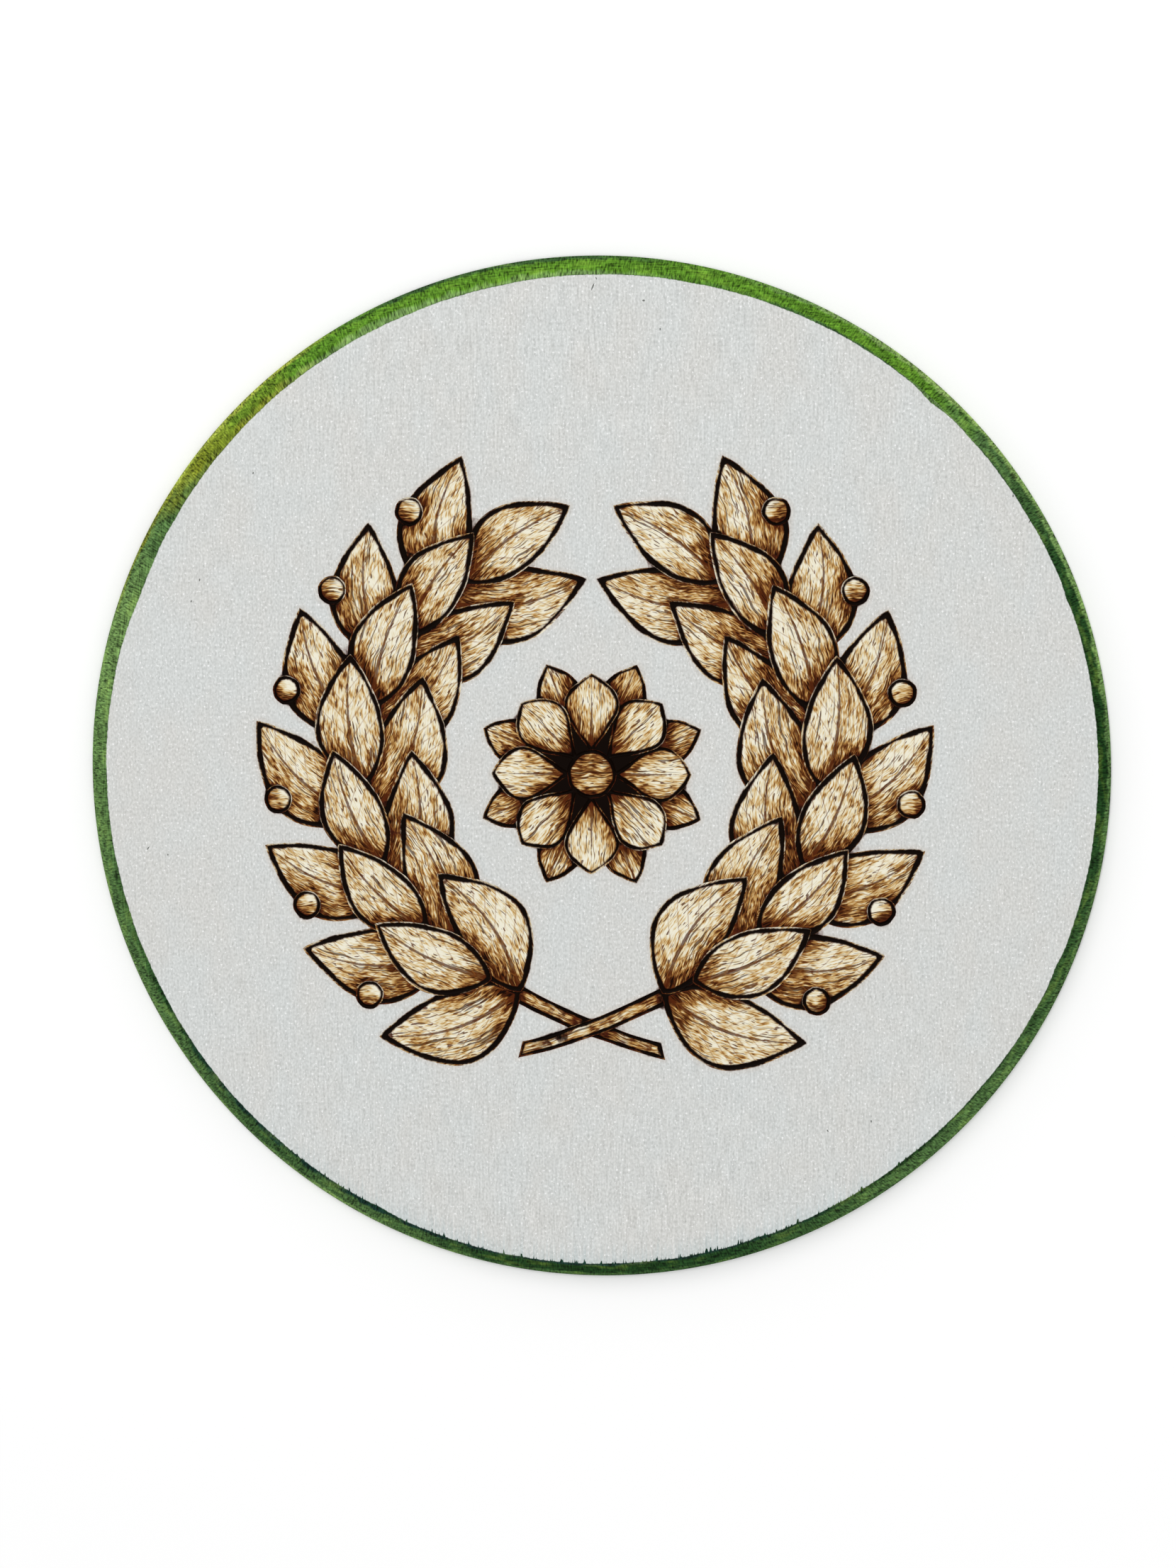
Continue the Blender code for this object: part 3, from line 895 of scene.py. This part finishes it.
def burned_veneer():
    """Pale sanded veneer, matt and cool. Inside the motifs the pen's strokes go from tan to dark brown,
    its lines are charred black with a red-brown fringe and a faint tan halo, and the rim is stained."""
    material, tree, place = new_finish("burned_veneer")
    up = add_node(tree, "SeparateXYZ", {"Vector": place}).outputs["Y"]
    gap, scorch, _ = marks_of(tree, "burn")
    _, _, nicked = marks_of(tree, "lines")

    # The lines are wider where the pen was pressed harder or the wood was already scorched
    pressure = mottled(tree, place, (5, 5, 5), detail=1.0)
    ragged = mottled(tree, place, (0.7, 0.9, 1), detail=1.0)
    edge = varied(tree, gap, pressure, by=0.9)
    edge = varied(tree, edge, ragged, by=0.3)
    edge = add_node(tree, "Math", {0: scorch, 1: -CHARS_WIDER, 2: edge}, operation="MULTIPLY_ADD")

    face, fibres = bare_veneer(tree, place, up)
    face = coated(tree, face, colour(HALO_TAN), edge, none_at=1.23, full_at=-0.07, strength=0.16)
    face = scorched(tree, place, face, ragged)
    face = coated(tree, face, colour(FRINGE_BROWN), edge, none_at=0.19, full_at=-0.04, strength=0.8)
    face = coated(tree, face, colour(CHAR), edge, none_at=0.05, full_at=-0.12)
    face = coated(tree, face, colour(NICK_GREY), nicked, none_at=0, full_at=1, strength=0.8)
    face, streaks = stained_rim(tree, place, face, up, pressure, ragged)

    # Matt wood; char is a little shinier
    roughness = {"Value": edge, "From Min": -0.13, "From Max": 0.13, "To Min": 0.5, "To Max": 0.75}
    roughness = add_node(tree, "MapRange", roughness)
    relief = add_node(tree, "Math", {0: streaks, 1: 0.35, 2: fibres}, operation="MULTIPLY_ADD")
    bump = add_node(tree, "Bump", {"Strength": 0.35, "Distance": FACE_RELIEF * MM, "Height": relief})
    surface = {"Base Color": face, "Roughness": roughness, "Specular IOR Level": WOOD_SHEEN, "Normal": bump}
    set_inputs(tree.nodes["Principled BSDF"], surface)
    return material


veneer = face_veneer()
shade(veneer)
veneer.data.materials.append(burned_veneer())
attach(veneer, "root")
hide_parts("face_ply")


# Core veneer
# The thick middle ply, its grain running across. Only its bevelled rim shows, stained green: long
# streaks run round it at the top and bottom, and at the sides the open ends of the grain drink it in.
# Its stain is also darker at the right and the bottom, partly as painted shade.

RIM_PITCH = 0.4
PLY_RELIEF = 0.08
CROSS_GRAIN = (2.5, 0.3, 0.8)

# Bare wood, and how far from the middle the stain takes over from it, and how softly
BARE_PALE = "e0d1b2"
BARE_DARK = "c9b48e"
CORE_STAIN_FROM = 92.0
STAIN_EDGE = 0.4


def turned_disc(name, heights):
    """A disc modelled as on a lathe: a round blank drawn down from its top edge to its bottom."""
    top = heights[0]
    bpy.ops.mesh.primitive_circle_add(
        vertices=RIM_SIDES, radius=rim_radius(top) * MM, fill_type="NGON", location=(0, 0, top * MM)
    )
    piece = bpy.context.active_object
    piece.name = piece.data.name = name
    bpy.ops.object.transform_apply(location=True, rotation=True, scale=True)
    bpy.ops.object.mode_set(mode="EDIT")
    bpy.ops.mesh.select_all(action="SELECT")
    for last, height in zip(heights, heights[1:]):
        bpy.ops.mesh.extrude_region_move(
            TRANSFORM_OT_translate={"value": (0, 0, (height - last) * MM)}
        )
        grow = rim_radius(height) / rim_radius(last)
        bpy.ops.transform.resize(value=(grow, grow, 1), center_override=(0, 0, height * MM))
    bpy.ops.mesh.select_all(action="SELECT")
    bpy.ops.mesh.normals_make_consistent(inside=False)
    bpy.ops.object.mode_set(mode="OBJECT")
    return piece


def stained_ply(name, upper_tones, grain, stain_from):
    """Veneer under green stain: matt, streaked along its own grain. It is bare, warm wood nearer the
    middle than the stain reaches."""
    material, tree, place = new_finish(name)
    stain, streaks = stain_colour(tree, place, upper_tones, OUTER_TONES, MIDDLE_TO_OUTER, grain)
    flat = add_node(tree, "VectorMath", {0: place, 1: (1, 1, 0)}, operation="MULTIPLY")
    away = add_node(tree, "VectorMath", {0: flat}, operation="LENGTH").outputs["Value"]
    away = add_node(tree, "Math", {0: streaks, 1: 1.2, 2: away}, operation="MULTIPLY_ADD")
    fibres = mottled(tree, place, (0.6, 14, 6), detail=4.0, roughness=0.6)
    wood = coated(tree, colour(BARE_PALE), colour(BARE_DARK), fibres, none_at=0, full_at=1)
    seen = coated(tree, wood, stain, away, none_at=stain_from, full_at=stain_from + STAIN_EDGE)
    bump = add_node(tree, "Bump", {"Strength": 0.5, "Distance": PLY_RELIEF * MM, "Height": streaks})
    surface = {"Base Color": seen, "Roughness": 0.8, "Specular IOR Level": WOOD_SHEEN, "Normal": bump}
    set_inputs(tree.nodes["Principled BSDF"], surface)
    return material


core_top = THICKNESS - OUTER_PLY - SEAM
core_bottom = OUTER_PLY + SEAM
steps = round((core_top - core_bottom) / RIM_PITCH)
core_heights = [core_top + (core_bottom - core_top) * i / steps for i in range(steps + 1)]
core = turned_disc("core_veneer", core_heights)
shade(core)
core.data.materials.append(stained_ply("stained_core", MIDDLE_TONES, CROSS_GRAIN, CORE_STAIN_FROM))
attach(core, "root")
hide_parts("core_ply")


# Back veneer
# The lowest ply, grain up and down like the face's. Its edge is the disc's widest part, upright and
# just eased where it meets the flat bare back, and the stain stops at that corner.

BACK_STAIN_FROM = 99.4

back_heights = [OUTER_PLY - SEAM, 0.72, LAND_HEIGHT, 0.3, BACK_ROUND, 0.09, 0.04, 0.012, 0.0]
back = turned_disc("back_veneer", back_heights)
shade(back)
# The outer tones carry painted highlights at the upper right and upper left and painted shade towards the
# bottom
back.data.materials.append(stained_ply("stained_back", OUTER_TONES, UPRIGHT_GRAIN, BACK_STAIN_FROM))
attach(back, "root")
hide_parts("back_ply")


# Floor, light and camera
# A plain pale table under soft, even light from all round, a little stronger from beyond the top of
# the disc. The camera looks almost straight down at the face, from a little to its upper right.

FLOOR_SIZE = 6.0
FLOOR_DROP = 0.2
STUDIO_STRENGTH = 0.7
WHITE = "ffffff"

bpy.ops.mesh.primitive_plane_add(size=FLOOR_SIZE, location=(0, 0, -FLOOR_DROP * MM))
floor = bpy.context.active_object
floor.name = floor.data.name = "floor"
# Matt white paper: plain, with no shine
paper = bpy.data.materials.new("pale_floor")
paper.use_nodes = True
matt = {"Base Color": colour(WHITE), "Roughness": 0.9, "Specular IOR Level": 0.0}
set_inputs(paper.node_tree.nodes["Principled BSDF"], matt)
floor.data.materials.append(paper)

world = bpy.data.worlds.new("studio")
world.use_nodes = True
set_inputs(world.node_tree.nodes["Background"], {"Color": colour(WHITE), "Strength": STUDIO_STRENGTH})
bpy.context.scene.world = world

for name, spot, size, power in (
    ("softbox_top", (-0.35, 0.9, 1.1), 0.9, 8.0),
    ("softbox_side", (0.9, -0.5, 1.2), 0.9, 2.7),
):
    light = bpy.data.lights.new(name, "AREA")
    light.shape = "DISK"
    light.size = size
    light.energy = power
    lamp = bpy.data.objects.new(name, light)
    lamp.location = spot
    lamp.rotation_mode = "QUATERNION"
    lamp.rotation_quaternion = (-Vector(spot)).to_track_quat("-Z", "Y")
    bpy.context.scene.collection.objects.link(lamp)

CAMERA_DISTANCE = 600.0
CAMERA_LENS = 94.6
CAMERA_TILT = 7.3
CAMERA_SIDE = 40.5
AIM = Vector((-0.68, -1.92, THICKNESS)) * MM

lean = math.radians(CAMERA_TILT)
side = math.radians(CAMERA_SIDE)
back_off = Vector((math.sin(lean) * math.cos(side), math.sin(lean) * math.sin(side), math.cos(lean)))
right = Vector((0, 1, 0)).cross(back_off).normalized()
up = back_off.cross(right)
camera_data = bpy.data.cameras.new("camera")
camera_data.sensor_fit = "HORIZONTAL"
camera_data.sensor_width = 36.0
camera_data.lens = CAMERA_LENS
camera_data.dof.use_dof = False
camera = bpy.data.objects.new("camera", camera_data)
axes = Matrix((right, up, back_off)).transposed().to_4x4()
camera.matrix_world = Matrix.Translation(AIM + back_off * CAMERA_DISTANCE * MM) @ axes
bpy.context.scene.collection.objects.link(camera)
bpy.context.scene.camera = camera
bpy.context.scene.view_settings.view_transform = "Standard"
